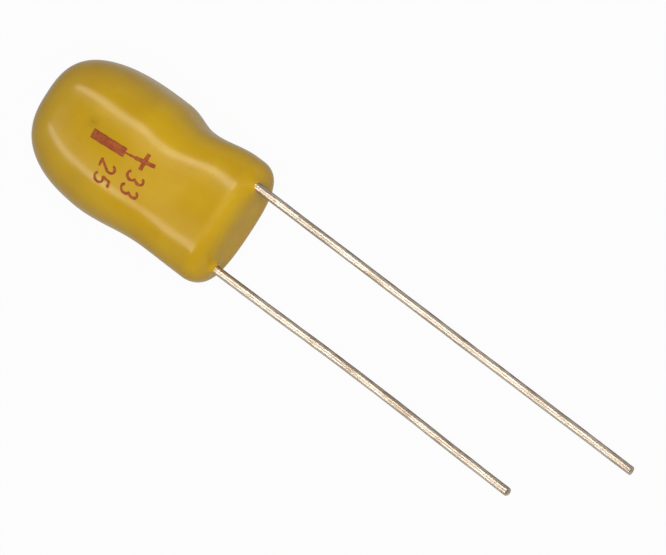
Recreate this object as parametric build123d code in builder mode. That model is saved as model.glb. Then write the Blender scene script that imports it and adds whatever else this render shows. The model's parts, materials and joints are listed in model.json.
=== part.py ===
from build123d import *
from math import asin, atan2, cos, degrees, hypot, pi, sin, tan
import os

os.makedirs("parts", exist_ok=True)

# Bead. Heights run from the lead end towards the dome, half widths from midway between the leads.
bead_length = 13.65
skirt_height = 1.6
positive_skirt = 3.66
positive_waist = 3.22
positive_waist_height = 4.85
positive_bulb = 3.64
positive_bulb_height = 7.05
negative_skirt = 4.02
negative_waist = 3.97
negative_waist_height = 4.1
negative_bulb = 4.42
negative_bulb_height = 8.7
skirt_half_depth = 2.2
bulb_half_depth = 3.5
deepest_height = 7.7
skirt_squareness = 2.4
bulb_squareness = 2.6
end_edge_radius = 1.15
dome_height = 7
dome_squareness = 2.85
dome_tip_share = 0.05
ring_points = 20
body_steps = 7
dome_steps = 8

# Leads. The lead spacing is the standard one for this case; forward is towards the marked face.
lead_spacing = 5.08
lead_diameter = 0.5
positive_lead_length = 27.6
negative_lead_length = 21.9
positive_lead_forward = 1.05
negative_lead_forward = 0.26
cut_edge_chamfer = 0.06
round_end_radius = 0.15
collar_breadth = 0.35
collar_depth = 0.35
collar_rise = 0.25
collar_edge = 0.05

# Anode and the coats round it, each coat starting a margin further from the lead end.
pellet_diameter = 4.4
pellet_length = 5.7
pellet_base_height = 5.0
pellet_edge_radius = 0.3
dioxide_thickness = 0.1
graphite_thickness = 0.05
silver_thickness = 0.06
solder_thickness = 0.2
coat_margin = 0.35
riser_diameter = 0.4
riser_depth = 3.0
riser_reach = 2.2
washer_diameter = 2.0
washer_thickness = 0.3

# Inner ends of the leads. Each starts its bend at the lead end of the bead.
negative_step = 0.35
negative_step_height = 4
weld_length = 1.6
weld_washer_gap = 0.3
weld_sink = 0.04
soldered_length = 4.4
solder_film = 0.04
solder_over_lead = 0.15
solder_edge_radius = 0.3

# Radii, heights and centres that follow from the sizes above.
lead_radius = lead_diameter / 2
riser_radius = riser_diameter / 2
pellet_radius = pellet_diameter / 2
dioxide_radius = pellet_radius + dioxide_thickness
graphite_radius = dioxide_radius + graphite_thickness
silver_radius = graphite_radius + silver_thickness
solder_radius = silver_radius + solder_thickness
pellet_top_height = pellet_base_height + pellet_length
dioxide_top_height = pellet_top_height + dioxide_thickness
graphite_top_height = dioxide_top_height + graphite_thickness
silver_top_height = graphite_top_height + silver_thickness
solder_top_height = silver_top_height + solder_thickness
dioxide_start_height = pellet_base_height + coat_margin
graphite_start_height = dioxide_start_height + coat_margin
silver_start_height = graphite_start_height + coat_margin
solder_start_height = silver_start_height + coat_margin
negative_lead_gap = silver_radius + solder_film + lead_radius
negative_reach = lead_spacing / 2 + negative_step
pellet_side = (negative_lead_gap**2 - negative_lead_forward**2) ** 0.5 - negative_reach
negative_end_height = pellet_base_height + soldered_length
weld_end_height = pellet_base_height - washer_thickness - weld_washer_gap
crank_end_height = weld_end_height - weld_length
crank_reach = hypot(lead_spacing / 2 - pellet_side, positive_lead_forward)
weld_offset = riser_radius + lead_radius - weld_sink
collar_taper = degrees(atan2(collar_breadth - collar_edge, collar_depth + collar_rise))


def eased(height, start_height, start, end_height, end):
    """A size that eases from start to end between two heights and is level beyond them."""
    share = min(1, max(0, (height - start_height) / (end_height - start_height)))
    return start + (end - start) * sin(pi / 2 * share) ** 2


def section(height):
    """Side shift, half width, half depth and squareness of the bead's cross-section at a height."""
    rise = max(0, (height - dome_height) / (bead_length - dome_height))
    dome = (1 - rise**dome_squareness) ** (1 / dome_squareness)
    positive_swell = positive_bulb - positive_waist
    negative_swell = negative_bulb - negative_waist
    positive = eased(height, skirt_height, positive_skirt, positive_waist_height, positive_waist)
    positive += eased(height, positive_waist_height, 0, positive_bulb_height, positive_swell)
    negative = eased(height, skirt_height, negative_skirt, negative_waist_height, negative_waist)
    negative += eased(height, negative_waist_height, 0, negative_bulb_height, negative_swell)
    depth = eased(height, skirt_height, skirt_half_depth, deepest_height, bulb_half_depth)
    squareness = eased(height, skirt_height, skirt_squareness, deepest_height, bulb_squareness)
    shift = dome * (positive - negative) / 2
    width = dome * (positive + negative) / 2
    return shift, width, dome * depth, squareness


def ring(height):
    """Points round the cross-section at a height, as a superellipse."""
    shift, width, depth, squareness = section(height)
    points = []
    for step in range(ring_points):
        angle = 2 * pi * (step + 0.5) / ring_points
        across = abs(cos(angle)) ** (2 / squareness) * (1 if cos(angle) > 0 else -1)
        forward = abs(sin(angle)) ** (2 / squareness) * (1 if sin(angle) > 0 else -1)
        points.append((shift + width * across, depth * forward))
    return points


tip_rise = (1 - dome_tip_share**dome_squareness) ** (1 / dome_squareness)
heights = [dome_height * step / body_steps for step in range(body_steps + 1)]
for step in range(1, dome_steps + 1):
    share = sin(pi / 2 * step / dome_steps) * tip_rise
    heights.append(dome_height + (bead_length - dome_height) * share)


# Resting pose: the belly of the bead and both lead tips touch the floor. +X runs towards the lead tips,
# +Z is up and the origin is on the floor under the middle of the whole length and breadth.
def roll_for(pitch):
    """Roll about the leads that brings both tips to one level."""
    step = (positive_lead_length - negative_lead_length) * tan(pitch)
    stagger = positive_lead_forward - negative_lead_forward
    return asin(step / hypot(lead_spacing, stagger)) - atan2(stagger, lead_spacing)


def belly_drop(pitch):
    """How far the lowest point of the bead lies below the middle of its lead end."""
    roll = roll_for(pitch)
    drops = []
    for height in heights:
        shift, width, depth, squareness = section(height)
        power = squareness / (squareness - 1)
        side = width * abs(sin(roll)) * cos(pitch)
        face = depth * cos(roll) * cos(pitch)
        reach = (side**power + face**power) ** (1 / power)
        drops.append(reach - height * sin(pitch) - shift * sin(roll) * cos(pitch))
    return max(drops)


def tip_drop(pitch):
    """How far the lowest point of the lead tips lies below the middle of the bead's lead end."""
    roll = roll_for(pitch)
    sideways = lead_spacing / 2 * sin(roll) + positive_lead_forward * cos(roll)
    return positive_lead_length * sin(pitch) + (lead_radius - sideways) * cos(pitch)


pitch_low = 0
pitch_high = pi / 6
halvings = 40
for step in range(halvings):
    pitch = (pitch_low + pitch_high) / 2
    if tip_drop(pitch) < belly_drop(pitch):
        pitch_low = pitch
    else:
        pitch_high = pitch
roll = roll_for(pitch)

along = Vector(cos(pitch), 0, -sin(pitch))
across = Vector(sin(pitch) * sin(roll), cos(roll), cos(pitch) * sin(roll))
end_middle = Vector(
    (bead_length - positive_lead_length) / 2 * cos(pitch),
    (negative_bulb - positive_bulb) / 2,
    belly_drop(pitch),
)
lead_end = Plane(origin=end_middle, x_dir=across, z_dir=along)
lead_axis = Axis(lead_end.origin, lead_end.z_dir)
pellet_base = lead_end.offset(-pellet_base_height)
crank_angle = atan2(positive_lead_forward, lead_spacing / 2 - pellet_side)
toward_lead = lead_end.x_dir * cos(crank_angle) + lead_end.y_dir * sin(crank_angle)
riser_foot = lead_end.origin + lead_end.x_dir * pellet_side
crank_plane = Plane(origin=riser_foot, x_dir=toward_lead, z_dir=toward_lead.cross(lead_end.z_dir))
step_foot = lead_end.origin + lead_end.y_dir * negative_lead_forward
step_plane = Plane(origin=step_foot, x_dir=-lead_end.x_dir, z_dir=lead_end.y_dir)

# Sintered anode, with the blind hole its wire was pressed into.
with BuildPart() as anode_pellet:
    with BuildSketch(pellet_base):
        with Locations((pellet_side, 0)):
            Circle(pellet_radius)
    extrude(amount=-pellet_length)
    fillet(anode_pellet.edges().group_by(lead_axis)[0], pellet_edge_radius)
    with BuildSketch(pellet_base):
        with Locations((pellet_side, 0)):
            Circle(riser_radius)
    extrude(amount=-riser_depth, mode=Mode.SUBTRACT)
anode_pellet.part.label = "anode_pellet"
export_step(anode_pellet.part, "parts/anode_pellet.step")

# Anode wire, from the bottom of that hole out towards the leads.
with BuildPart() as riser_wire:
    with BuildSketch(pellet_base.offset(-riser_depth)):
        with Locations((pellet_side, 0)):
            Circle(riser_radius)
    extrude(amount=riser_depth + riser_reach)
riser_wire.part.label = "riser_wire"
export_step(riser_wire.part, "parts/riser_wire.step")

# Insulating washer over the wire, flat on the pellet.
with BuildPart() as wire_washer:
    with BuildSketch(pellet_base):
        with Locations((pellet_side, 0)):
            Circle(washer_diameter / 2)
            Circle(riser_radius, mode=Mode.SUBTRACT)
    extrude(amount=washer_thickness)
wire_washer.part.label = "wire_washer"
export_step(wire_washer.part, "parts/wire_washer.step")

# Manganese dioxide over the side and the far end of the pellet.
with BuildPart() as dioxide_coat:
    with BuildSketch(lead_end.offset(-dioxide_start_height)):
        with Locations((pellet_side, 0)):
            Circle(dioxide_radius)
    extrude(amount=dioxide_start_height - dioxide_top_height)
    fillet(
        dioxide_coat.edges().group_by(lead_axis)[0],
        pellet_edge_radius + dioxide_radius - pellet_radius,
    )
    add([riser_wire.part, anode_pellet.part], mode=Mode.SUBTRACT)
dioxide_coat.part.label = "dioxide_coat"
export_step(dioxide_coat.part, "parts/dioxide_coat.step")

# Graphite over the dioxide.
with BuildPart() as graphite_coat:
    with BuildSketch(lead_end.offset(-graphite_start_height)):
        with Locations((pellet_side, 0)):
            Circle(graphite_radius)
    extrude(amount=graphite_start_height - graphite_top_height)
    fillet(
        graphite_coat.edges().group_by(lead_axis)[0],
        pellet_edge_radius + graphite_radius - pellet_radius,
    )
    add([riser_wire.part, anode_pellet.part, dioxide_coat.part], mode=Mode.SUBTRACT)
graphite_coat.part.label = "graphite_coat"
export_step(graphite_coat.part, "parts/graphite_coat.step")

# Silver paint over the graphite.
with BuildPart() as silver_coat:
    with BuildSketch(lead_end.offset(-silver_start_height)):
        with Locations((pellet_side, 0)):
            Circle(silver_radius)
    extrude(amount=silver_start_height - silver_top_height)
    fillet(
        silver_coat.edges().group_by(lead_axis)[0],
        pellet_edge_radius + silver_radius - pellet_radius,
    )
    add(
        [riser_wire.part, anode_pellet.part, dioxide_coat.part, graphite_coat.part],
        mode=Mode.SUBTRACT,
    )
silver_coat.part.label = "silver_coat"
export_step(silver_coat.part, "parts/silver_coat.step")

# Negative lead: one wire, stepped inside the bead to lie against the silver, its free end rounded.
with BuildPart() as negative_lead:
    with BuildLine(step_plane) as step_path:
        Line((lead_spacing / 2, negative_lead_length), (lead_spacing / 2, 0))
        Spline(
            (lead_spacing / 2, 0),
            (negative_reach, -negative_step_height),
            tangents=[(0, -1), (0, -1)],
        )
        Line((negative_reach, -negative_step_height), (negative_reach, -negative_end_height))
    with BuildSketch(Plane(step_path.line @ 0, z_dir=step_path.line % 0)):
        Circle(lead_radius)
    sweep()
    fillet(negative_lead.edges().group_by(lead_axis)[-1], round_end_radius)
negative_lead.part.label = "negative_lead"
export_step(negative_lead.part, "parts/negative_lead.step")

# Positive lead: one wire, cranked inside the bead to lie along the anode wire, its free end cut.
with BuildPart() as positive_lead:
    with BuildLine(crank_plane) as crank_path:
        Line((crank_reach, positive_lead_length), (crank_reach, 0))
        Spline(
            (crank_reach, 0),
            (weld_offset, -crank_end_height),
            tangents=[(0, -1), (0, -1)],
        )
        Line((weld_offset, -crank_end_height), (weld_offset, -weld_end_height))
    with BuildSketch(Plane(crank_path.line @ 0, z_dir=crank_path.line % 0)):
        Circle(lead_radius)
    sweep()
    chamfer(positive_lead.edges().group_by(lead_axis)[-1], cut_edge_chamfer)
    add(riser_wire.part, mode=Mode.SUBTRACT)
positive_lead.part.label = "positive_lead"
export_step(positive_lead.part, "parts/positive_lead.step")

# Solder round the silvered pellet, drawn out to a ridge that holds the negative lead.
with BuildPart() as solder_coat:
    with BuildSketch(lead_end.offset(-solder_start_height)):
        with Locations((pellet_side, 0)):
            Circle(solder_radius)
        with Locations((-negative_reach, negative_lead_forward)):
            Circle(lead_radius + solder_over_lead)
        make_hull()
    extrude(amount=solder_start_height - solder_top_height)
    fillet(solder_coat.edges().group_by(lead_axis)[0], solder_edge_radius)
    add(
        [
            riser_wire.part,
            anode_pellet.part,
            dioxide_coat.part,
            graphite_coat.part,
            silver_coat.part,
            negative_lead.part,
        ],
        mode=Mode.SUBTRACT,
    )
solder_coat.part.label = "solder_coat"
export_step(solder_coat.part, "parts/solder_coat.step")

# Dipped resin bead, with a small collar drawn up each lead, filling every space round the pieces inside.
with BuildPart() as resin_coating:
    for height in heights:
        with BuildSketch(lead_end.offset(-height)):
            with BuildLine():
                Spline(ring(height), periodic=True)
            make_face()
    loft()
    fillet(resin_coating.edges().group_by(lead_axis)[-1], end_edge_radius)
    with BuildSketch(lead_end.offset(-collar_depth)):
        with Locations(
            (lead_spacing / 2, positive_lead_forward),
            (-lead_spacing / 2, negative_lead_forward),
        ):
            Circle(lead_radius + collar_breadth)
    extrude(amount=collar_depth + collar_rise, taper=collar_taper)
    add(
        [
            anode_pellet.part,
            riser_wire.part,
            wire_washer.part,
            dioxide_coat.part,
            graphite_coat.part,
            silver_coat.part,
            solder_coat.part,
            negative_lead.part,
            positive_lead.part,
        ],
        mode=Mode.SUBTRACT,
    )
resin_coating.part.label = "resin_coating"
export_step(resin_coating.part, "parts/resin_coating.step")
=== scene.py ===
import json

import bpy
import numpy as np
from bpy.props import FloatProperty, FloatVectorProperty, PointerProperty
from mathutils import Matrix, Vector


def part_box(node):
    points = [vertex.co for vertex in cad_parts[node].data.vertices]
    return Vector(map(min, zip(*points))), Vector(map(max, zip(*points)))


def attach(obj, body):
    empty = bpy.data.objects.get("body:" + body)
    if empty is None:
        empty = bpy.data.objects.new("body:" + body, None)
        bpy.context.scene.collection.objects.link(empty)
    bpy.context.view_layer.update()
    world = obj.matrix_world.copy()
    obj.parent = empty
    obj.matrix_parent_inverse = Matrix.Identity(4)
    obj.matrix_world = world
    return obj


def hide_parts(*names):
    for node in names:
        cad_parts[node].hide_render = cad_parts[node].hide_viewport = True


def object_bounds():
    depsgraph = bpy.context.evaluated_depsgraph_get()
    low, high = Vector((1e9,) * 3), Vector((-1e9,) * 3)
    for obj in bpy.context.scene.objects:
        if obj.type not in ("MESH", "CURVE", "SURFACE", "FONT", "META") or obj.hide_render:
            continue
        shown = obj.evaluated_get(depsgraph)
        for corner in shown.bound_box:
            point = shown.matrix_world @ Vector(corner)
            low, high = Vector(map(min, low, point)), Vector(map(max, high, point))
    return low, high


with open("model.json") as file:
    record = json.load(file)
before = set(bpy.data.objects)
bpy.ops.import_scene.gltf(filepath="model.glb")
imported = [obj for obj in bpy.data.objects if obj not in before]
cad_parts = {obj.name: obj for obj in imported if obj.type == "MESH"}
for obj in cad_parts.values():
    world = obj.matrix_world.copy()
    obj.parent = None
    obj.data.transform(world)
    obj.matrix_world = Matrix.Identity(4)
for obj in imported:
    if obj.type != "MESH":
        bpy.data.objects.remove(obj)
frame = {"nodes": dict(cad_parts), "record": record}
cad_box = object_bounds()

bl_info = {
    "name": "Bead capacitor",
    "version": (1, 0, 0),
    "blender": (4, 5, 0),
    "location": "View3D > Sidebar > Bead capacitor",
    "description": "Builds the resin bead, its leads and print, and the studio round the packed part",
    "category": "Object",
}

MM = 0.001
PINS = {mount["name"]: mount for mount in frame["record"]["mounts"]}

# Waves of the skin: each has its strength, its radians for each millimetre, its waves round and its start
SKIN_WAVES = ((1.0, 0.9, 2, 0.4), (0.7, 1.7, -3, 1.9), (0.5, 0.6, 5, 4.1))
# Waves of the tinning, whose start is counted in steps of the lead's own phase
TIN_WAVES = ((1.0, 1.1, 1, 1), (0.8, 2.3, -2, 2), (0.6, 0.5, 3, 3))


def length(name, description, millimetres):
    """A length property, its default given in millimetres."""
    return FloatProperty(
        name=name, description=description, default=millimetres * MM, unit="LENGTH", precision=5
    )


def amount(name, description, default):
    """A property that is a plain number, such as a share, a power or a strength."""
    return FloatProperty(name=name, description=description, default=default)


def colour(name, description, red, green, blue):
    """A colour property, its default given as display values from 0 to 255, made linear by the sRGB curve."""
    display = np.array([red, green, blue]) / 255
    linear = np.where(display <= 0.04045, display / 12.92, ((display + 0.055) / 1.055) ** 2.4)
    default = tuple(linear.tolist())
    return FloatVectorProperty(
        name=name, description=description, subtype="COLOR", size=3, min=0, max=1, default=default
    )


class BeadSizes(bpy.types.PropertyGroup):
    """The resin bead. Heights run from the lead end towards the dome."""

    length: length("Length", "From the lead end to the tip of the dome", 13.65)
    skirt_height: length("Skirt height", "Where the skirt begins to draw in", 1.6)
    positive_skirt: length("Positive skirt", "Half width at the lead end, positive side", 3.66)
    positive_waist: length("Positive waist", "Half width at the waist, positive side", 3.22)
    positive_waist_height: length("Positive waist height", "Height of that waist", 4.85)
    positive_bulb: length("Positive bulb", "Half width at the bulb, positive side", 3.64)
    positive_bulb_height: length("Positive bulb height", "Height where that bulb is full", 7.05)
    negative_skirt: length("Negative skirt", "Half width at the lead end, negative side", 4.02)
    negative_waist: length("Negative waist", "Half width at the waist, negative side", 3.97)
    negative_waist_height: length("Negative waist height", "Height of that waist", 4.1)
    negative_bulb: length("Negative bulb", "Half width at the bulb, negative side", 4.42)
    negative_bulb_height: length("Negative bulb height", "Height where that bulb is full", 8.7)
    skirt_half_depth: length("Skirt half depth", "Half thickness at the lead end", 2.2)
    bulb_half_depth: length("Bulb half depth", "Half thickness at the bulb", 3.5)
    deepest_height: length("Deepest height", "Height where the bulb is thickest", 7.7)
    skirt_squareness: amount("Skirt squareness", "Superellipse power at the lead end", 2.4)
    bulb_squareness: amount("Bulb squareness", "Superellipse power at the bulb", 2.6)
    dome_squareness: amount("Dome squareness", "Superellipse power of the dome's profile", 2.85)
    end_edge_radius: length("End edge radius", "Rounding of the lead end's edge", 1.15)
    soft_edge: length("Soft edge", "How much further that rounding reaches in on the marked side", 0.55)
    soft_power: amount("Soft power", "Extra superellipse power of that softer rounding", 0.6)
    dome_height: length("Dome height", "Height where the dome begins to close", 7)
    ripple: length("Ripple", "Depth of the slow waves that dipping leaves", 0.03)
    smudge_side: length("Smudge side", "How far across the face the smudge past the bar lies", 0.4)
    smudge_height: length("Smudge height", "Where that smudge lies up the face", 9.2)
    smudge_size: length("Smudge size", "How far that smudge reaches", 0.3)
    collar_rise: length("Collar rise", "How far the resin climbs up each lead", 0.25)
    collar_fade: length("Collar fade", "Distance from the wire over which that collar fades", 0.14)


class LeadSizes(bpy.types.PropertyGroup):
    """The two leads and their inner ends."""

    diameter: length("Diameter", "Diameter of the wire", 0.5)
    spacing: length("Spacing", "Distance between the leads across the bead", 5.08)
    positive_forward: length("Positive forward", "How far the positive lead is in front", 1.05)
    negative_forward: length("Negative forward", "How far the negative lead is in front", 0.26)
    cut_edge: length("Cut edge", "From the end of the positive pin to the cut face", 0.06)
    round_edge: length("Round edge", "From the end of the negative pin to the rounded tip", 0.15)
    weld_offset: length("Weld offset", "From the anode wire's middle to the positive lead's", 0.41)
    crank_end: length("Crank end", "Height where the positive lead turns straight again", 2.8)
    weld_end: length("Weld end", "Height of the positive lead's inner end", 4.4)
    step: length("Step", "How far the negative lead steps outwards inside the bead", 0.35)
    step_end: length("Step end", "Height where the negative lead is straight again", 4.0)
    soldered_end: length("Soldered end", "Height of the negative lead's inner end", 9.4)
    bow: length("Bow", "How far the negative lead bows towards the positive one", 0.1)
    unevenness: amount("Unevenness", "Share of the radius that the tinning varies by", 0.05)


class PrintSizes(bpy.types.PropertyGroup):
    """The polarity sign and the plain numbers beside it."""

    film: length("Film", "Thickness of the ink", 0.012)
    ragged: length("Ragged", "How far the edges of the strokes wander", 0.008)
    stroke: length("Stroke", "Width of the numbers' strokes", 0.15)
    plus_stroke: length("Plus stroke", "Width of the plus sign's arms", 0.23)
    neck_stroke: length("Neck stroke", "Width of the line from the plus sign to the bar", 0.12)
    bar_width: length("Bar width", "Width of the polarity bar", 0.54)
    digit_width: length("Digit width", "Width of one digit", 0.5)
    digit_height: length("Digit height", "Height of one digit", 1.0)


class Finishes(bpy.types.PropertyGroup):
    """Colours of every finish."""

    resin: colour("Resin", "Body colour of the dipped resin", 203, 162, 30)
    resin_shade: colour("Resin shade", "Darker clouds in the resin", 197, 154, 28)
    resin_smudge: colour("Resin smudge", "Stain on the marked face", 128, 100, 34)
    resin_speck: colour("Resin speck", "Filler grains that show at the surface", 168, 134, 48)
    ink: colour("Ink", "Print on the marked face", 172, 92, 46)
    ink_edge: colour("Ink edge", "Rim where the ink is thick", 150, 68, 36)
    tin: colour("Tin", "Bright tin on the leads", 222, 208, 190)
    tarnish: colour("Tarnish", "Dulled streaks on the leads", 178, 158, 136)
    # Painted shade: a dark tone laid along the leads' flanks, where their edges would fall dark
    flank_shade: colour("Painted flank shade", "Residue along the flanks of the leads", 104, 94, 80)
    tantalum: colour("Tantalum", "Sintered anode and its wire", 112, 112, 118)
    dioxide: colour("Dioxide", "Manganese dioxide coat", 42, 40, 40)
    graphite: colour("Graphite", "Graphite coat", 62, 62, 66)
    silver: colour("Silver", "Silver paint", 186, 186, 184)
    solder: colour("Solder", "Solder round the pellet", 168, 168, 170)
    washer: colour("Washer", "Washer on the anode wire", 236, 236, 232)


class StudioSettings(bpy.types.PropertyGroup):
    """The floor, the light and the camera."""

    ambient: amount("Ambient", "Strength of the light from all round", 0.3)
    ceiling: amount("Ceiling", "Brightness of the wide ceiling", 0.12)
    key: amount("Key", "Share of full light from the large front panel", 1.15)
    mirrored: amount("Mirrored", "Share of the white background in reflections", 0.35)
    tube: amount("Tube", "Brightness of the two long tubes", 7.5)
    glow: amount("Glow", "Brightness of the dim strip inside each tube", 1.0)
    tube_height: length("Tube height", "How far the tubes hang in front of the marked face", 250)
    positive_tube: length("Positive tube", "How far that tube hangs to the positive side", 118)
    negative_tube: length("Negative tube", "How far that tube hangs to the negative side", 187)
    field: length("Field", "Width that the camera sees", 35.73)
    distance: length("Distance", "From the camera to the object", 1250)


def unit(vectors):
    """The direction of a vector, or of each vector of an array, at length one."""
    return vectors / np.linalg.norm(vectors, axis=-1, keepdims=True)


def pin_length(name):
    """Length of a stated pin in metres."""
    return PINS[name]["dims"]["length_mm"] * MM


class Axes:
    """Middle of the lead end and the directions across, forward and along the leads, from the stated pins."""

    def __init__(self, leads):
        self.along = unit(np.array(PINS["positive_pin"]["axis"], float))
        positive = self.root("positive_pin")
        negative = self.root("negative_pin")
        span = unit(positive - negative)
        beside = np.cross(self.along, span)
        turn = np.arctan2(leads.positive_forward - leads.negative_forward, leads.spacing)
        self.across = span * np.cos(turn) - beside * np.sin(turn)
        self.forward = span * np.sin(turn) + beside * np.cos(turn)
        self.middle = positive - self.across * leads.spacing / 2 - self.forward * leads.positive_forward

    def root(self, name):
        """Where a pin's axis crosses the lead end, which is where the stated pin begins."""
        return np.array(PINS[name]["pos_m"], float) - self.along * pin_length(name) / 2

    def place(self, side, front, height):
        """Points in the row frame, from distances across, forward and up from the lead end to the dome."""
        side, front, height = np.broadcast_arrays(side, front, height)
        return (
            self.middle
            + side[..., None] * self.across
            + front[..., None] * self.forward
            - height[..., None] * self.along
        )


def walk(path):
    """Distance along a path at each of its points."""
    return np.concatenate([[0], np.cumsum(np.linalg.norm(np.diff(path, axis=0), axis=1))])


def round_angles(columns):
    """Even angles once round, one for each column."""
    return np.linspace(0, 2 * np.pi, columns, endpoint=False)


def eased(height, start_height, start, end_height, end):
    """A size that eases from start to end between two heights by a squared sine, and is level beyond them."""
    share = np.clip((height - start_height) / (end_height - start_height), 0, 1)
    return start + (end - start) * np.sin(np.pi / 2 * share) ** 2


def half_width(height, bead, side):
    """Half width on one side of the bead, which eases from the skirt to the waist and on to the bulb."""
    names = ("skirt", "waist", "bulb", "waist_height", "bulb_height")
    skirt, waist, bulb, waist_height, bulb_height = (getattr(bead, f"{side}_{name}") for name in names)
    width = eased(height, bead.skirt_height, skirt, waist_height, waist)
    return width + eased(height, waist_height, 0, bulb_height, bulb - waist)


def section(height, bead):
    """Side shift, half width, half depth and squareness of the undomed cross-section at each height."""
    positive = half_width(height, bead, "positive")
    negative = half_width(height, bead, "negative")
    lowest = bead.skirt_height
    deepest = bead.deepest_height
    depth = eased(height, lowest, bead.skirt_half_depth, deepest, bead.bulb_half_depth)
    squareness = eased(height, lowest, bead.skirt_squareness, deepest, bead.bulb_squareness)
    return (positive - negative) / 2, (positive + negative) / 2, depth, squareness


def waves(distance, angle, terms):
    """A sum of sines of the distance in millimetres and the angle, from 0 to 1, one for each term."""
    total = sum(
        strength * np.sin(distance / MM * pace + around * angle + start)
        for strength, pace, around, start in terms
    )
    return total / (2 * sum(term[0] for term in terms)) + 0.5


def dome_rise(bead):
    """How far the dome stands above the height where it begins to close, less the ripple."""
    return bead.length - bead.ripple - bead.dome_height


def skin(height, angle, share, inset, bead):
    """Side and front of skin points: a superellipse of the section's half sizes less the inset and the
    ripple, times the share that is left of them."""
    shift, width, depth, squareness = section(height, bead)
    cosine = np.cos(angle)
    sine = np.sin(angle)
    less = inset + bead.ripple * waves(height, angle, SKIN_WAVES)
    side = np.abs(cosine) ** (2 / squareness) * np.sign(cosine) * (width - less)
    front = np.abs(sine) ** (2 / squareness) * np.sign(sine) * (depth - less)
    return share * (shift + side), share * front


def add_object(name, data):
    """A new object of that data in the scene."""
    made = bpy.data.objects.new(name, data)
    bpy.context.scene.collection.objects.link(made)
    return made


def mesh_object(name, points):
    """A closed mesh from a grid of rings by columns. The first and last ring are each drawn to one point,
    with triangles round it, and quads join the rings between them."""
    rings, columns, _ = points.shape
    vertices = np.vstack([points[0].mean(0), points[1:-1].reshape(-1, 3), points[-1].mean(0)])
    ring = np.arange(rings - 3)[:, None]
    column = np.arange(columns)[None, :]
    after = (column + 1) % columns
    corner = 1 + ring * columns
    quads = np.stack(
        [corner + column, corner + after, corner + columns + after, corner + columns + column], -1
    ).reshape(-1, 4)
    last = len(vertices) - 1
    first_ring = 1 + np.arange(columns)
    last_ring = last - columns + np.arange(columns)
    start = np.stack([np.zeros(columns, int), np.roll(first_ring, -1), first_ring], -1)
    end = np.stack([np.full(columns, last), last_ring, np.roll(last_ring, -1)], -1)
    mesh = bpy.data.meshes.new(name)
    mesh.from_pydata(vertices.tolist(), [], quads.tolist() + start.tolist() + end.tolist())
    mesh.validate()
    mesh.polygons.foreach_set("use_smooth", np.ones(len(mesh.polygons), bool))
    return add_object(name, mesh), vertices


def outward(piece):
    """Turns the mesh inside out if its signed volume is negative, so that its faces point outwards."""
    mesh = piece.data
    mesh.calc_loop_triangles()
    corners = np.zeros(len(mesh.loop_triangles) * 3, np.int32)
    mesh.loop_triangles.foreach_get("vertices", corners)
    points = np.zeros(len(mesh.vertices) * 3, np.float32)
    mesh.vertices.foreach_get("co", points)
    a, b, c = points.reshape(-1, 3).astype(float)[corners.reshape(-1, 3)].transpose(1, 0, 2)
    if np.einsum("ij,ij->i", a, np.cross(b, c)).sum() < 0:
        mesh.flip_normals()
    mesh.update()


def store(piece, name, values):
    """Keeps one number per vertex on the mesh, for its material."""
    attribute = piece.data.attributes.new(name, "FLOAT", "POINT")
    attribute.data.foreach_set("value", np.asarray(values, np.float32))


def feed(tree, socket, value):
    """Links a socket to the one given as its value, or sets it to a number or a colour."""
    if isinstance(value, bpy.types.NodeSocket):
        tree.links.new(value, socket)
    elif socket.type == "RGBA":
        socket.default_value = (*value, 1)
    else:
        socket.default_value = value


def node(tree, kind, place, **inputs):
    """Adds a shader node and feeds the named inputs."""
    made = tree.nodes.new(kind)
    made.location = place
    for name, value in inputs.items():
        feed(tree, made.inputs[name.replace("_", " ")], value)
    return made


def calculate(tree, place, operation, *values):
    """Works out one operation on sockets and numbers and returns the result's socket."""
    made = node(tree, "ShaderNodeMath", place)
    made.operation = operation
    for socket, value in zip(made.inputs, values):
        feed(tree, socket, value)
    return made.outputs[0]


def blend(tree, place, factor, first, second):
    """Mixes two colours by a factor and returns the result's socket."""
    made = node(tree, "ShaderNodeMix", place)
    made.data_type = "RGBA"
    # A Mix node's sockets for colours come after those for numbers and vectors
    for index, value in ((0, factor), (6, first), (7, second)):
        feed(tree, made.inputs[index], value)
    return made.outputs[2]


def spread(tree, place, value, low=0.0, high=1.0, new_low=0.0, new_high=1.0):
    """Maps a value smoothly from one range to another."""
    ends = {"From Min": low, "From Max": high, "To Min": new_low, "To Max": new_high}
    made = node(tree, "ShaderNodeMapRange", place, Value=value, **ends)
    made.interpolation_type = "SMOOTHSTEP"
    return made.outputs["Result"]


def kept(tree, place, name):
    """The number that the mesh keeps under that name at each vertex."""
    made = node(tree, "ShaderNodeAttribute", place)
    made.attribute_name = name
    return made.outputs["Fac"]


def group(name, values, masks):
    """An empty shader node group that takes a position and the named values and puts out the named masks."""
    tree = bpy.data.node_groups.new(name, "ShaderNodeTree")
    tree.interface.new_socket("Position", in_out="INPUT", socket_type="NodeSocketVector")
    for label, default in values.items():
        socket = tree.interface.new_socket(label, in_out="INPUT", socket_type="NodeSocketFloat")
        socket.default_value = default
    for label in masks:
        tree.interface.new_socket(label, in_out="OUTPUT", socket_type="NodeSocketFloat")
    entry = node(tree, "NodeGroupInput", (-900, 0))
    leave = node(tree, "NodeGroupOutput", (700, 0))
    return tree, entry.outputs, leave.inputs


def clouds_group():
    """Clouds: slow mottling and a finer one over it, each from 0 to 1, for any finish."""
    tree, given, masks = group("Clouds", {"Size": 700.0, "Fine": 6000.0}, ["Slow", "Fine"])
    for name, scale, row, detail, roughness, margin in (
        ("Slow", given["Size"], 150, 3.0, 0.5, 0.32),
        ("Fine", given["Fine"], -150, 4.0, 0.6, 0.3),
    ):
        inputs = {"Vector": given["Position"], "Scale": scale, "Detail": detail, "Roughness": roughness}
        noise = node(tree, "ShaderNodeTexNoise", (-600, row), **inputs)
        tree.links.new(spread(tree, (0, row), noise.outputs["Fac"], margin, 1 - margin), masks[name])
    return tree


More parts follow.
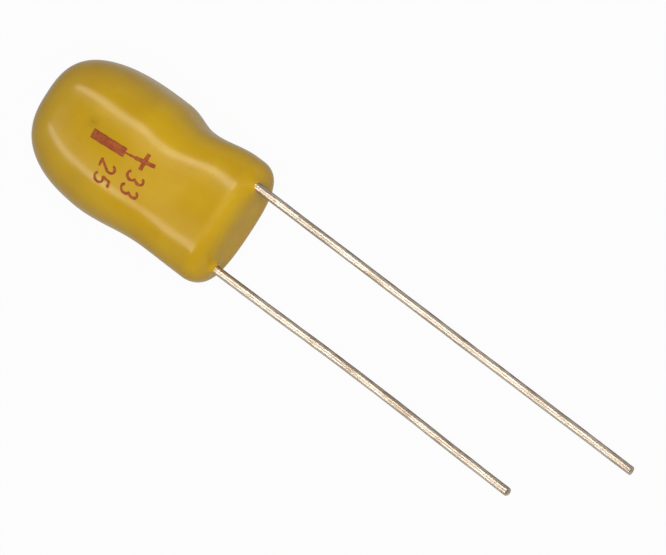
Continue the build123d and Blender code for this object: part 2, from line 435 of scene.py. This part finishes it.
def specks_group():
    """Specks: a mask of small round grains, one in some cells of a cell pattern."""
    tree, given, masks = group("Specks", {"Density": 2200.0, "Share": 0.2, "Radius": 0.16}, ["Mask"])
    rim = 0.08
    cells = node(
        tree, "ShaderNodeTexVoronoi", (-600, 0), Vector=given["Position"], Scale=given["Density"]
    )
    apart = node(tree, "ShaderNodeSeparateColor", (-300, 120), Color=cells.outputs["Color"])
    chosen = calculate(tree, (-50, 120), "LESS_THAN", apart.outputs[0], given["Share"])
    near = calculate(tree, (-300, -120), "SUBTRACT", given["Radius"], cells.outputs["Distance"])
    soft = spread(tree, (-50, -120), near, high=rim)
    tree.links.new(calculate(tree, (300, 0), "MULTIPLY", chosen, soft), masks["Mask"])
    return tree


EFFECTS = {"Clouds": clouds_group, "Specks": specks_group}


def use(tree, name, place, **inputs):
    """Places a shared effect with its own values and returns its outputs; its first use makes the group."""
    made = node(tree, "ShaderNodeGroup", place)
    made.node_tree = bpy.data.node_groups.get(name) or EFFECTS[name]()
    for label, value in inputs.items():
        feed(tree, made.inputs[label], value)
    return made.outputs


def material(name, roughness=0.5, metallic=0.0, level=0.5):
    """A new material with its constants on the shader, its node tree and the shader's inputs."""
    made = bpy.data.materials.new(name)
    made.use_nodes = True
    tree = made.node_tree
    shader = tree.nodes["Principled BSDF"]
    shader.inputs["Roughness"].default_value = roughness
    shader.inputs["Metallic"].default_value = metallic
    shader.inputs["Specular IOR Level"].default_value = level
    shader.location = (900, 0)
    tree.nodes["Material Output"].location = (1500, 0)
    return made, tree, shader.inputs


def where(tree):
    """The place on the piece, in its own coordinates."""
    return node(tree, "ShaderNodeTexCoord", (-1300, 0)).outputs["Object"]


def finish_surface(tree, shader, tone, rough_mask, least, most, relief=None, depth=0.0):
    """Feeds the shader its colour, a roughness that a mask varies, and a relief of that depth in metres."""
    tree.links.new(tone, shader["Base Color"])
    roughness = spread(tree, (300, 0), rough_mask, new_low=least, new_high=most)
    tree.links.new(roughness, shader["Roughness"])
    if relief is not None:
        raised = node(tree, "ShaderNodeBump", (600, -300), Strength=1.0, Distance=depth, Height=relief)
        tree.links.new(raised.outputs["Normal"], shader["Normal"])


def resin_material(finishes):
    """Satin dipped epoxy: slow clouds, a smudge, sparse filler grains and a fine skin texture."""
    made, tree, shader = material("dipped_resin", 0.2, level=0.25)
    position = where(tree)
    grain_strength = 0.35
    clouds = use(tree, "Clouds", (-900, 200), Position=position, Size=420.0, Fine=7000.0)
    even = blend(tree, (-550, 300), clouds["Slow"], finishes.resin, finishes.resin_shade)
    patchy = spread(tree, (-750, 600), clouds["Fine"], new_low=0.15, new_high=0.45)
    stain = calculate(tree, (-550, 500), "MULTIPLY", kept(tree, (-900, 450), "smudge"), patchy)
    base = blend(tree, (-300, 300), stain, even, finishes.resin_smudge)
    grains = use(tree, "Specks", (-900, -150), Position=position, Density=2600.0, Share=0.16, Radius=0.2)
    weak = calculate(tree, (-300, 0), "MULTIPLY", grains["Mask"], grain_strength)
    tone = blend(tree, (300, 200), weak, base, finishes.resin_speck)
    fine = clouds["Fine"]
    finish_surface(tree, shader, tone, fine, least=0.17, most=0.22, relief=fine, depth=0.4e-6)
    return made


def ink_material(finishes):
    """Pad-printed ink: thicker and darker at the rim of each stroke, patchy between."""
    made, tree, shader = material("print_ink", 0.6, level=0.1)
    rim_sharpness = 3.0
    clouds = use(tree, "Clouds", (-900, -100), Position=where(tree), Size=5000.0, Fine=12000.0)
    patchy = blend(tree, (-300, -100), clouds["Slow"], finishes.ink, finishes.ink_edge)
    rim = calculate(tree, (-300, 200), "POWER", kept(tree, (-900, 200), "ink_rim"), rim_sharpness)
    tone = blend(tree, (300, 200), rim, patchy, finishes.ink_edge)
    finish_surface(tree, shader, tone, clouds["Fine"], least=0.42, most=0.58)
    return made


def wire_material(finishes, axes):
    """Hot-tinned wire: streaks drawn along it, dulled in patches, with painted shade darkening its flanks."""
    made, tree, shader = material("tinned_wire", 0.42, metallic=1.0)
    position = where(tree)
    drawn_out = 0.12
    flank_wander = 0.12
    drawn = node(tree, "ShaderNodeMapping", (-1100, -200), Vector=position)
    drawn.inputs["Rotation"].default_value = Matrix((axes.along, axes.across, axes.forward)).to_euler()
    drawn.inputs["Scale"].default_value = (drawn_out, 1.0, 1.0)
    streaks = use(tree, "Clouds", (-900, -200), Position=drawn.outputs[0], Size=3200.0, Fine=9000.0)
    patches = use(tree, "Clouds", (-900, 200), Position=position, Size=420.0, Fine=1500.0)
    strength = spread(tree, (-700, 300), patches["Slow"], new_low=0.3)
    dull = calculate(tree, (-500, 100), "MULTIPLY", streaks["Slow"], strength)
    body = blend(tree, (-200, 200), dull, finishes.tin, finishes.tarnish)
    # Painted shade: the wire's flanks across it are darkened, and the edge of that shade wanders with fine
    # noise
    flank = kept(tree, (-900, 500), "flank")
    uneven = calculate(tree, (-500, 500), "MULTIPLY_ADD", patches["Fine"], flank_wander, flank)
    painted_flank_shade = spread(tree, (0, 500), uneven, low=0.82, high=1.04)
    tone = blend(tree, (300, 200), painted_flank_shade, body, finishes.flank_shade)
    slow = streaks["Slow"]
    finish_surface(tree, shader, tone, streaks["Fine"], least=0.36, most=0.48, relief=slow, depth=0.5e-6)
    return made


def plain_material(name, tone, dark, roughness, metallic, size):
    """A grainy finish of one tone with darker clouds, for the pieces sealed inside."""
    made, tree, shader = material(name, roughness, metallic=metallic)
    finer = 6
    swing = 0.08
    clouds = use(tree, "Clouds", (-900, 0), Position=where(tree), Size=size, Fine=size * finer)
    deeper = tuple(value * dark for value in tone)
    mixed = blend(tree, (300, 200), clouds["Fine"], tone, deeper)
    least = roughness - swing
    most = roughness + swing
    relief = clouds["Fine"]
    finish_surface(tree, shader, mixed, clouds["Slow"], least, most, relief, depth=2e-6)
    return made


def dress(piece, finish, stands_for=None):
    """Gives a new piece its material and body and, if it stands for a CAD node, hides that node."""
    piece.data.materials.append(finish)
    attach(piece, "root")
    if stands_for:
        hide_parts(stands_for)


class BuildBead(bpy.types.Operator):
    """Builds the resin bead: rings of superellipses from the middle of the lead end round its edge, up the
    body and over the dome, with a collar raised round each lead"""

    bl_idname = "bead_capacitor.build_bead"
    bl_label = "Build resin bead"

    columns = 320
    cap_rings = 30
    edge_rings = 30
    body_rings = 80
    dome_rings = 80

    def rings(self, bead, angle):
        """Height, share and inset of all rings. The cap is flat and its share grows evenly. The edge is a
        quarter superellipse, softer on the marked side. The body rises evenly, and the dome's share and rise
        are powers of the cosine and sine of one angle."""
        edge = bead.end_edge_radius
        cap = np.linspace(0, 1, self.cap_rings, endpoint=False)
        turn = np.sin(np.linspace(0, np.pi / 2, self.edge_rings, endpoint=False))[:, None]
        body = np.linspace(edge, bead.dome_height, self.body_rings, endpoint=False)
        rise = np.linspace(0, np.pi / 2, self.dome_rings)
        dome_share = np.cos(rise) ** (2 / bead.dome_squareness)
        dome_share[-1] = 0
        dome = bead.dome_height + dome_rise(bead) * np.sin(rise) ** (2 / bead.dome_squareness)
        level = np.concatenate([body, dome])
        share = np.concatenate([cap, np.ones(len(turn) + len(body)), dome_share])
        softness = np.clip(np.sin(angle), 0, 1) ** 2
        reach = edge + bead.soft_edge * softness
        power = 2 + bead.soft_power * softness
        flat = np.zeros((len(cap), self.columns))
        inset = np.vstack([flat + reach, reach * (1 - turn), np.zeros((len(level), self.columns))])
        rounded = edge * (1 - (1 - turn**power) ** (1 / power))
        height = np.vstack([flat, rounded, np.repeat(level[:, None], self.columns, 1)])
        return height, share[:, None], inset

    def execute(self, context):
        bead = context.scene.bead_sizes
        leads = context.scene.lead_sizes
        axes = Axes(leads)
        angle = round_angles(self.columns)
        height, share, inset = self.rings(bead, angle)
        side, front = skin(height, angle, share, inset, bead)
        outside = height
        for lead_side, lead_front in (
            (leads.spacing / 2, leads.positive_forward),
            (-leads.spacing / 2, leads.negative_forward),
        ):
            gap = np.hypot(side - lead_side, front - lead_front) - leads.diameter / 2
            near = np.exp(-np.clip(gap, 0, None) / bead.collar_fade) * (height < bead.skirt_height)
            outside = outside - bead.collar_rise * near
        points = axes.place(side, front, outside)
        piece, vertices = mesh_object("resin_bead", points)
        outward(piece)
        place = vertices - axes.place(bead.smudge_side, 0, bead.smudge_height)
        apart = np.hypot(place @ axes.across, place @ axes.along) / bead.smudge_size
        store(piece, "smudge", np.exp(-apart**2) * (place @ axes.forward > 0))
        dress(piece, resin_material(context.scene.finishes), "resin_coating")
        return {"FINISHED"}


class BuildLeads(bpy.types.Operator):
    """Builds both leads: a circle carried along each lead's path, its radius varied by waves of the angle and
    the distance, closed at both ends"""

    bl_idname = "bead_capacitor.build_leads"
    bl_label = "Build leads"

    columns = 48
    stations = 330
    bend_stations = 40
    inner_stations = 12
    tip_stations = 12
    cap_rings = 5
    # Shares of the radius at the rings that close the inner end
    closing_shares = (0.66, 0.33, 0.0)
    # How far behind the tip the even rings begin, in tip lengths
    tip_clearance = 1.5
    # The slant of the cut, and how far behind the tip it has faded, in radii
    cut_slant = 0.1
    cut_reach = 3
    positive_phase = 0.7
    negative_phase = 2.1

    def path(self, start, bend, foot, end):
        """Points in a plane of reach and height, from the tip end to the inner end: straight, then a cubic
        that leaves and arrives along the lead, then straight."""
        share = np.linspace(0, 1, self.bend_stations)
        chord = np.hypot(bend[0] - foot[0], bend[1] - foot[1])
        slope = np.array([0.0, -chord])
        cubic = (
            np.outer(2 * share**3 - 3 * share**2 + 1, bend)
            + np.outer(share**3 - 2 * share**2 + share, slope)
            + np.outer(-2 * share**3 + 3 * share**2, foot)
            + np.outer(share**3 - share**2, slope)
        )
        outer = np.linspace(start, bend, self.stations, endpoint=False)
        inner = np.linspace(foot, end, self.inner_stations)[1:]
        return np.vstack([outer, cubic, inner])

    def tip(self, middle, offset, forward, reach, radius):
        """Rings from the middle of the tip's face out to its rim and round the edge, which is a quarter
        circle of that reach and ends at the full offset."""
        rounding = np.linspace(0, np.pi / 2, self.tip_stations)[:, None, None]
        shrink = 1 - (1 - np.sin(rounding)) * reach / radius
        edge = middle + offset * shrink + forward * (reach * (1 - np.cos(rounding)))
        flat = np.linspace(0, 1, self.cap_rings, endpoint=False)[:, None, None]
        return np.concatenate([middle + (edge[0] - middle) * flat, edge])

    def tube(self, name, spine, radius, tip, lean, phase):
        """A tube round the spine, its first rings rounded over the tip length and slanted by the lean, which
        is all zero for a square end."""
        forward = unit(np.gradient(spine, axis=0))
        first = unit(np.cross(forward, self.axes.forward))
        second = np.cross(forward, first)
        angle = round_angles(self.columns)
        walked = walk(spine)
        terms = [(strength, pace, around, step * phase) for strength, pace, around, step in TIN_WAVES]
        size = radius * (1 - self.leads.unevenness * waves(walked[:, None], angle, terms))
        offset = first[:, None] * (np.cos(angle) * size)[..., None]
        offset = offset + second[:, None] * (np.sin(angle) * size)[..., None]
        start = self.tip(spine[0], offset[0], forward[0], tip, radius)
        keep = walked > tip * self.tip_clearance
        closing = spine[-1] + offset[-1] * np.array(self.closing_shares)[:, None, None]
        points = np.concatenate([start, (spine[:, None] + offset)[keep], closing])
        reach = 1 - (points - spine[0]) @ forward[0] / (radius * self.cut_reach)
        cut = ((points - spine[0]) @ lean + radius * np.linalg.norm(lean)) * np.clip(reach, 0, 1)
        points = points + cut[..., None] * forward[0]
        piece, vertices = mesh_object(name, points)
        outward(piece)
        middle = np.vstack([spine[:1]] * len(start) + [spine[keep]] + [spine[-1:]] * len(closing))
        middle = np.vstack([middle[:1], np.repeat(middle[1:-1], self.columns, 0), middle[-1:]])
        # How far across from the wire's middle each point lies, which the material uses to paint shade on the
        # flanks
        store(piece, "flank", np.abs((vertices - middle) @ self.axes.across) / radius)
        return piece

    def execute(self, context):
        leads = context.scene.lead_sizes
        axes = Axes(leads)
        self.leads = leads
        self.axes = axes
        finish = wire_material(context.scene.finishes, axes)
        radius = leads.diameter / 2
        positive_tip = pin_length("positive_pin") + leads.cut_edge
        negative_tip = pin_length("negative_pin") + leads.round_edge
        low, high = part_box("wire_washer")
        washer = (np.array(low) + np.array(high)) / 2 - axes.middle
        anode_side = float(washer @ axes.across)
        toward = np.array([leads.spacing / 2 - anode_side, leads.positive_forward])
        reach = float(np.hypot(*toward))
        toward /= reach
        offset = leads.weld_offset
        flat = self.path(
            (reach, positive_tip), (reach, 0), (offset, -leads.crank_end), (offset, -leads.weld_end)
        )
        spine = axes.place(anode_side + flat[:, 0] * toward[0], flat[:, 0] * toward[1], -flat[:, 1])
        lean = self.cut_slant * (axes.across - axes.forward)
        positive = self.tube("positive_wire", spine, radius, leads.cut_edge, lean, self.positive_phase)
        dress(positive, finish, "positive_lead")
        outer = leads.spacing / 2
        inner = outer + leads.step
        flat = self.path(
            (outer, negative_tip), (outer, 0), (inner, -leads.step_end), (inner, -leads.soldered_end)
        )
        bow = leads.bow * np.sin(np.pi * np.clip(flat[:, 1] / negative_tip, 0, 1)) ** 2
        spine = axes.place(-flat[:, 0] + bow, leads.negative_forward, -flat[:, 1])
        square = np.zeros(3)
        negative = self.tube("negative_wire", spine, radius, leads.round_edge, square, self.negative_phase)
        dress(negative, finish, "negative_lead")
        return {"FINISHED"}


class BuildPrint(bpy.types.Operator):
    """Prints the marked face: each stroke is a flat ellipse carried along a path laid on the bead's skin"""

    bl_idname = "bead_capacitor.build_print"
    bl_label = "Print marked face"

    columns = 14
    step = 0.03 * MM
    fewest_rings = 12
    arc_points = 28
    # The farthest place across the face, as a share of its half width
    widest = 0.999
    # Each ragged wave's strength, its radians for each millimetre and its share of the seed
    ragged_waves = ((1.0, 9, 1.0), (0.7, 21, 2.3))
    seed_step = 1.7
    # Both ends of each polarity stroke in millimetres, across and up from the middle of the lead end
    upright = ((0.35, 4.88), (0.15, 6.03))
    crossbar = ((0.74, 5.51), (-0.26, 5.45))
    neck = ((0.17, 5.88), (0.055, 6.7))
    bar = ((0.055, 6.6), (-0.13, 8.87))
    # How blunt the strokes end
    round_blunt = 2.0
    plus_blunt = 5.0
    bar_blunt = 12.0
    # Each row of plain numbers, its upper left corner in millimetres and its slant
    rows = (("33", (-0.55, 4.94), 0.02), ("25", (-0.88, 6.55), 0.0))
    row_lean = 0.09
    digit_pitch = 1.56

    def on_skin(self, side, height):
        """Points of the marked face at these distances across and heights, from the skin's own formula."""
        bead = self.bead
        shift, width, _, squareness = section(height, bead)
        rise = np.clip((height - bead.dome_height) / dome_rise(bead), 0, 1)
        share = (1 - rise**bead.dome_squareness) ** (1 / bead.dome_squareness)
        cosine = np.clip((side / share - shift) / width, -self.widest, self.widest)
        angle = np.arccos(np.sign(cosine) * np.abs(cosine) ** (squareness / 2))
        placed, front = skin(height, angle, share, 0, bead)
        return self.axes.place(placed, front, height)

    def stroke(self, path, width, blunt):
        """One closed stroke: the path is resampled evenly, its half width falls to nothing at each end as a
        superellipse of that bluntness, and varies a little between."""
        walked = walk(path)
        count = max(self.fewest_rings, int(walked[-1] / self.step))
        even = (1 - np.cos(np.linspace(0, np.pi, count))) / 2 * walked[-1]
        line = np.stack([np.interp(even, walked, path[:, 0]), np.interp(even, walked, path[:, 1])], -1)
        along = unit(np.gradient(line, axis=0))
        normal = np.stack([-along[:, 1], along[:, 0]], -1)
        to_end = np.minimum(even, walked[-1] - even) / (width / 2)
        ends = (1 - (1 - np.clip(to_end, 0, 1)) ** blunt) ** (1 / blunt)
        self.seed += self.seed_step
        ragged = sum(
            strength * np.sin(even / MM * pace + share * self.seed)
            for strength, pace, share in self.ragged_waves
        )
        angle = round_angles(self.columns)
        half = ((width / 2 + self.sizes.ragged * ragged) * ends)[:, None] * np.cos(angle)
        lift = (self.sizes.film * np.sqrt(ends))[:, None] * np.sin(angle)
        side = line[:, :1] + normal[:, :1] * half
        height = line[:, 1:] + normal[:, 1:] * half
        points = self.on_skin(side, height) + lift[..., None] * self.axes.forward
        return points, np.tile(np.abs(np.cos(angle)), (count, 1))

    def arc(self, middle, radii, start, end):
        """Points of an ellipse's arc between two angles in degrees."""
        turn = np.radians(np.linspace(start, end, self.arc_points))
        return np.stack([middle[0] + radii[0] * np.cos(turn), middle[1] + radii[1] * np.sin(turn)], -1)

    def digit(self, figure):
        """Path of a figure in a box one wide and one high, as arcs and lines."""
        if figure == "2":
            bow = self.arc((0.5, 0.72), (0.44, 0.26), 165, -35)
            return np.vstack([bow, [[0.08, 0.04], [0.95, 0.04]]])
        if figure == "3":
            upper = self.arc((0.46, 0.745), (0.4, 0.24), 155, -75)
            lower = self.arc((0.46, 0.265), (0.47, 0.25), 75, -155)
            return np.vstack([upper, lower])
        if figure == "5":
            bowl = self.arc((0.45, 0.3), (0.47, 0.27), 128, -150)
            return np.vstack([[[0.9, 0.96], [0.2, 0.96], [0.12, 0.52]], bowl])
        raise ValueError("no path for figure " + figure)

    def number(self, text, corner, slant):
        """Strokes of a number from its upper left corner, with its top towards the leads."""
        strokes = []
        for place, figure in enumerate(text):
            flat = self.digit(figure)
            right = (flat[:, 0] + place * self.digit_pitch) * self.sizes.digit_width
            down = (1 - flat[:, 1]) * self.sizes.digit_height
            side = corner[0] * MM - right + slant * down
            height = corner[1] * MM + down - self.row_lean * right
            strokes.append(self.stroke(np.stack([side, height], -1), self.sizes.stroke, self.round_blunt))
        return strokes

    def join(self, name, strokes):
        """One mesh of several closed strokes."""
        pieces = []
        for index, (points, rim) in enumerate(strokes):
            piece, _ = mesh_object(f"{name}_{index}", points)
            store(piece, "ink_rim", np.concatenate([[1.0], rim[1:-1].ravel(), [1.0]]))
            outward(piece)
            pieces.append(piece)
        with bpy.context.temp_override(active_object=pieces[0], selected_editable_objects=pieces):
            bpy.ops.object.join()
        pieces[0].name = name
        pieces[0].data.name = name
        return pieces[0]

    def execute(self, context):
        self.bead = context.scene.bead_sizes
        self.sizes = context.scene.print_sizes
        self.axes = Axes(context.scene.lead_sizes)
        self.seed = 0.0
        finish = ink_material(context.scene.finishes)
        polarity = [
            self.stroke(np.array(ends) * MM, width, blunt)
            for ends, width, blunt in (
                (self.upright, self.sizes.plus_stroke, self.plus_blunt),
                (self.crossbar, self.sizes.plus_stroke, self.plus_blunt),
                (self.neck, self.sizes.neck_stroke, self.round_blunt),
                (self.bar, self.sizes.bar_width, self.bar_blunt),
            )
        ]
        dress(self.join("polarity_print", polarity), finish)
        numbers = [stroke for row in self.rows for stroke in self.number(*row)]
        dress(self.join("number_print", numbers), finish)
        return {"FINISHED"}


class FinishInnerPieces(bpy.types.Operator):
    """Gives the pieces sealed inside the resin their own finishes"""

    bl_idname = "bead_capacitor.finish_inner_pieces"
    bl_label = "Finish inner pieces"

    def execute(self, context):
        tones = context.scene.finishes
        # Each finish: its name, tone, share of that tone in the clouds, roughness, metal and grain
        looks = {
            "anode_pellet": ("sintered_tantalum", tones.tantalum, 0.6, 0.75, 0.6, 9000.0),
            "riser_wire": ("tantalum_wire", tones.tantalum, 0.8, 0.35, 1.0, 4000.0),
            "wire_washer": ("washer_plastic", tones.washer, 0.92, 0.5, 0.0, 2500.0),
            "dioxide_coat": ("manganese_dioxide", tones.dioxide, 0.6, 0.8, 0.0, 6000.0),
            "graphite_coat": ("graphite_coating", tones.graphite, 0.75, 0.6, 0.0, 5000.0),
            "silver_coat": ("silver_paint", tones.silver, 0.85, 0.5, 0.6, 4000.0),
            "solder_coat": ("solder", tones.solder, 0.85, 0.35, 1.0, 1500.0),
        }
        for name, look in looks.items():
            piece = frame["nodes"][name]
            piece.data.materials.clear()
            piece.data.materials.append(plain_material(*look))
        return {"FINISHED"}


class BuildStudio(bpy.types.Operator):
    """Builds the pale floor, the light from all round, the front panel, a wide dim ceiling, four long panels
    that give the bead its two stripes, and the camera"""

    bl_idname = "bead_capacitor.build_studio"
    bl_label = "Build studio"

    # The floor: half its side in metres, grey, roughness and the share of white where it is seen
    floor_half = 1.0
    floor_tone = 0.5
    floor_roughness = 0.9
    floor_white = 0.96
    # How far the front panel leans to the negative side, as a share of its distance
    key_aside = 0.05
    # The ceiling, the panels and the widths of the dim strips, in metres
    ceiling_half = 1.3
    ceiling_height = 0.4
    key_distance = 0.3
    key_size = 0.3
    tube_width = 0.06
    tube_length = 0.6
    tube_shift = 0.24
    positive_glow = 0.06
    negative_glow = 0.08
    # The camera: its direction along, across and forward, its roll in degrees, its sensor in millimetres
    view = (0.42, 0.15, 0.895)
    roll = 37.25
    sensor = 36.0
    nearest = 0.01
    farthest = 10.0
    # The aim in millimetres: in front of the lead end and past it, then right and down in the view
    aim_front = 0.65
    aim_past = 0.19
    aim_right = 5.098
    aim_down = 2.589

    def sheet(self, name, middle, right, up, half, finish):
        """A square sheet of one face round its middle."""
        corners = [middle + half * (x * right + y * up) for x, y in ((-1, -1), (1, -1), (1, 1), (-1, 1))]
        mesh = bpy.data.meshes.new(name)
        mesh.from_pydata([tuple(corner) for corner in corners], [], [(0, 1, 2, 3)])
        mesh.materials.append(finish)
        return add_object(name, mesh)

    def floor(self, level):
        """A square floor that shows white and keeps the object's shadow."""
        made, tree, shader = material("pale_floor", self.floor_roughness, level=0.0)
        shader["Base Color"].default_value = (self.floor_tone, self.floor_tone, self.floor_tone, 1)
        share = calculate(tree, (600, 200), "MULTIPLY", self.seen(tree), self.floor_white)
        plain = tree.nodes["Principled BSDF"].outputs[0]
        glow = node(tree, "ShaderNodeEmission", (900, -500), Strength=1.0).outputs[0]
        mixed = node(tree, "ShaderNodeMixShader", (1250, 0))
        for socket, value in zip(mixed.inputs, (share, plain, glow)):
            feed(tree, socket, value)
        feed(tree, tree.nodes["Material Output"].inputs["Surface"], mixed.outputs[0])
        middle, right, up = np.array([[0, 0, level], [1, 0, 0], [0, 1, 0]])
        piece = self.sheet("floor", middle, right, up, self.floor_half, made)

    def ceiling(self, middle, right, up, strength):
        """A wide dim panel behind the lamps, which the camera looks through."""
        made, _, shader = material("dim_ceiling", level=0.0)
        shader["Base Color"].default_value = (0, 0, 0, 1)
        shader["Emission Color"].default_value = (1, 1, 1, 1)
        shader["Emission Strength"].default_value = strength
        piece = self.sheet("ceiling", middle, right, up, self.ceiling_half, made)
        piece.visible_camera = False

    def seen(self, tree):
        """1 for camera rays, a share of it for glossy and transmission rays, else 0."""
        ray = node(tree, "ShaderNodeLightPath", (-700, 100)).outputs
        mirror = calculate(tree, (-500, 0), "MAXIMUM", ray["Is Glossy Ray"], ray["Is Transmission Ray"])
        weaker = calculate(tree, (-320, 0), "MULTIPLY", mirror, self.mirrored)
        return calculate(tree, (-150, 100), "MAXIMUM", ray["Is Camera Ray"], weaker)

    def world(self, ambient):
        """Even light from all round, white where it is seen."""
        world = bpy.data.worlds.new("studio")
        world.use_nodes = True
        tree = world.node_tree
        back = tree.nodes["Background"]
        back.inputs["Color"].default_value = (1, 1, 1, 1)
        strength = node(
            tree, "ShaderNodeMapRange", (100, 0), Value=self.seen(tree), To_Min=ambient, To_Max=1.0
        )
        tree.links.new(strength.outputs["Result"], back.inputs["Strength"])
        bpy.context.scene.world = world

    def panel(self, name, place, aim, width, height, radiance, long_side):
        """A square-cornered light panel that faces the aim, its height along the long side."""
        light = bpy.data.lights.new(name, "AREA")
        light.shape = "RECTANGLE"
        light.size = width
        light.size_y = height
        light.energy = float(radiance * np.pi * width * height)
        lamp = add_object(name, light)
        back = unit(place - aim)
        up = unit(long_side - back * (long_side @ back))
        self.stand(lamp, place, np.cross(up, back), up, back)
        return lamp

    def stand(self, thing, place, right, up, back):
        """Stands a lamp or the camera at a place, turned by its own right, up and back."""
        turn = Matrix((right, up, back)).transposed().to_4x4()
        thing.matrix_world = Matrix.Translation(Vector(place)) @ turn

    def camera(self, studio, aim, right, up, toward):
        """The camera, whose lens is the sensor times the distance over the field."""
        made = bpy.data.cameras.new("camera")
        made.sensor_width = self.sensor
        made.lens = self.sensor * studio.distance / studio.field
        made.clip_start = self.nearest
        made.clip_end = self.farthest
        eye = add_object("camera", made)
        self.stand(eye, aim + toward * studio.distance, right, up, toward)
        bpy.context.scene.camera = eye

    def execute(self, context):
        scene = context.scene
        studio = scene.studio_settings
        axes = Axes(scene.lead_sizes)
        self.mirrored = studio.mirrored
        low, _ = cad_box
        self.floor(low[2])
        self.world(studio.ambient)
        along, across, forward = self.view
        toward = unit(along * axes.along + across * axes.across + forward * axes.forward)
        down_leads = unit(axes.along - toward * (axes.along @ toward))
        beside = np.cross(toward, down_leads)
        roll = np.radians(self.roll)
        right = np.cos(roll) * down_leads + np.sin(roll) * beside
        up = -np.sin(roll) * down_leads + np.cos(roll) * beside
        aim = axes.place(0.0, self.aim_front * MM, -self.aim_past * MM)
        aim = aim + right * self.aim_right * MM - up * self.aim_down * MM
        self.camera(studio, aim, right, up, toward)
        body = axes.place(0.0, 0.0, scene.bead_sizes.length / 2)
        radiance = studio.key * np.pi * self.key_distance**2 / self.key_size**2
        front = unit(toward - axes.across * self.key_aside)
        place = body + front * self.key_distance
        key = self.panel("front_panel", place, body, self.key_size, self.key_size, radiance, axes.along)
        key.visible_glossy = False
        self.ceiling(body + toward * self.ceiling_height, right, up, studio.ceiling)
        positive = studio.positive_tube
        negative = studio.negative_tube
        for name, side, width, radiance in (
            ("tube_positive", positive, self.tube_width, studio.tube),
            ("tube_negative", -negative, self.tube_width, studio.tube),
            ("glow_positive", positive - self.positive_glow, self.positive_glow, studio.glow),
            ("glow_negative", self.negative_glow - negative, self.negative_glow, studio.glow),
        ):
            place = body + side * axes.across + studio.tube_height * axes.forward
            place = place - self.tube_shift * axes.along
            aim = place - axes.forward
            panel = self.panel(name, place, aim, width, self.tube_length, radiance, axes.along)
            panel.visible_diffuse = False
        scene.view_settings.view_transform = "Standard"
        return {"FINISHED"}


class CapacitorPanel(bpy.types.Panel):
    """Lists the steps that build the capacitor"""

    bl_idname = "VIEW3D_PT_bead_capacitor"
    bl_label = "Bead capacitor"
    bl_space_type = "VIEW_3D"
    bl_region_type = "UI"
    bl_category = "Bead capacitor"

    def draw(self, context):
        for operator in OPERATORS:
            self.layout.operator(operator.bl_idname)
        for holder in PROPERTIES:
            settings = getattr(context.scene, holder)
            box = self.layout.box()
            for name in settings.__annotations__:
                box.prop(settings, name)


OPERATORS = (BuildBead, BuildLeads, BuildPrint, FinishInnerPieces, BuildStudio)
PROPERTIES = {
    "bead_sizes": BeadSizes,
    "lead_sizes": LeadSizes,
    "print_sizes": PrintSizes,
    "finishes": Finishes,
    "studio_settings": StudioSettings,
}


def register():
    for holder in (*PROPERTIES.values(), *OPERATORS, CapacitorPanel):
        bpy.utils.register_class(holder)
    for name, holder in PROPERTIES.items():
        setattr(bpy.types.Scene, name, PointerProperty(type=holder))


def unregister():
    for name in PROPERTIES:
        delattr(bpy.types.Scene, name)
    for holder in (CapacitorPanel, *reversed(OPERATORS), *reversed(PROPERTIES.values())):
        bpy.utils.unregister_class(holder)


def main():
    register()
    bpy.ops.bead_capacitor.build_bead()
    bpy.ops.bead_capacitor.build_leads()
    bpy.ops.bead_capacitor.build_print()
    bpy.ops.bead_capacitor.finish_inner_pieces()
    bpy.ops.bead_capacitor.build_studio()


if __name__ == "__main__":
    main()
